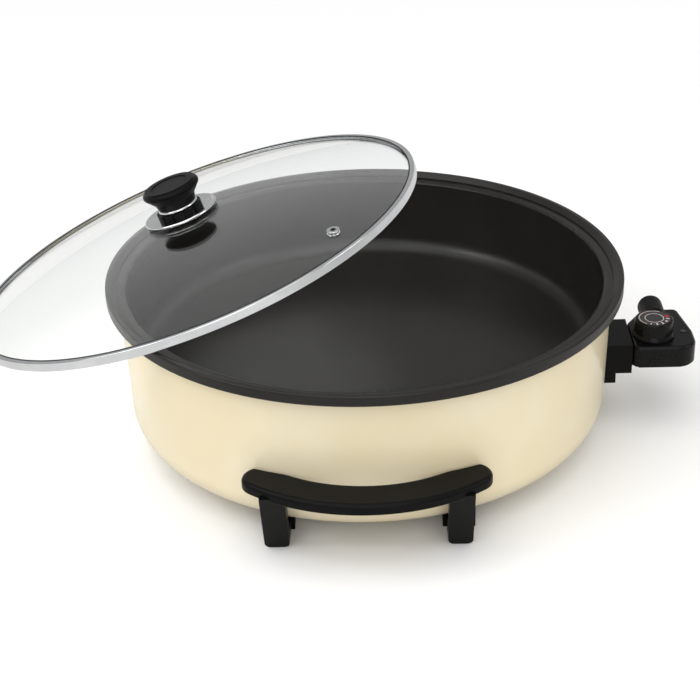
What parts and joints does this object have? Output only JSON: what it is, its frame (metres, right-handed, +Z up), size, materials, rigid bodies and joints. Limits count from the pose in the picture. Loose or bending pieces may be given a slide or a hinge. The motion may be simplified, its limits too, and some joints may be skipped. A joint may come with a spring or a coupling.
{
  "type": "electric pizza maker",
  "caption": "Round electric pizza pan with a deep non-stick cooking well, painted shell, carrying handles on legs, pull-out thermostat plug and lift-off glass lid.",
  "frame": {"origin": "on the worktop under the pan's axis, at the middle of the four feet", "axes": "+Z up along the pan's axis, +X towards the thermostat plug, -Y towards the front handle"},
  "size_m": [0.6067, 0.4932, 0.2082],
  "materials": {
    "cream_enamel": "glossy cream stove enamel",
    "non_stick": "satin dark grey non-stick coating",
    "bare_aluminium": "plain rolled",
    "element_steel": "heat darkened",
    "terminal_brass": "plain",
    "zinc_steel": "zinc plated",
    "black_phenolic": "satin black moulding",
    "black_moulding": "satin black moulding with fine texture",
    "brown_phenolic": "plain",
    "black_rubber": "matt",
    "grey_rubber": "matt silicone",
    "lens_red": "glossy",
    "dial_print": "black disc with printed scale",
    "bright_steel": "polished stainless",
    "bright_chrome": "mirror bright",
    "clear_glass": "clear tempered"
  },
  "bodies": {
    "pan": {"outer_shell": "cream_enamel", "pan_liner": "non_stick", "heat_spreader": "bare_aluminium", "heating_element": "element_steel", "element_terminals": "terminal_brass", "heat_shield": "bare_aluminium", "centre_stud": "zinc_steel", "stud_spacers": "zinc_steel", "centre_nut": "zinc_steel", "front_handle": "black_phenolic", "rear_handle": "black_phenolic", "handle_screws": "zinc_steel", "handle_nuts": "zinc_steel", "socket_guard": "black_phenolic", "sensor_sleeve": "zinc_steel", "guard_screws": "zinc_steel", "guard_nuts": "zinc_steel"},
    "plug": {"probe_base": "black_moulding", "probe_cover": "black_moulding", "probe_screws": "zinc_steel", "cord_gland": "black_rubber", "pilot_lens": "lens_red", "sensor_rod": "bright_steel", "probe_contacts": "terminal_brass", "thermostat_block": "brown_phenolic"},
    "dial": {"dial_shaft": "bare_aluminium", "dial_knob": "black_moulding", "dial_face": "dial_print"},
    "lid": {"lid_glass": "clear_glass", "lid_band": "bright_steel", "vent_eyelet": "bright_steel", "lid_washers": "grey_rubber", "knob_dish": "bright_chrome", "knob_base": "black_phenolic", "knob_ring": "bright_chrome", "knob_cap": "black_phenolic", "lid_screw": "zinc_steel"}
  },
  "joints": [
    {"name": "lid_lift", "type": "slide", "parent": "pan", "child": "lid", "axis": [0, 0, 1], "range_m": [0, 0.16]},
    {"name": "plug_pull", "type": "slide", "parent": "pan", "child": "plug", "axis": [1, 0, 0], "range_m": [0, 0.12]},
    {"name": "dial_turn", "type": "hinge", "parent": "plug", "child": "dial", "pos_m": [0.238, -0.006, 0.085], "axis": [0, 0, -1], "range_deg": [0, 270]}
  ]
}
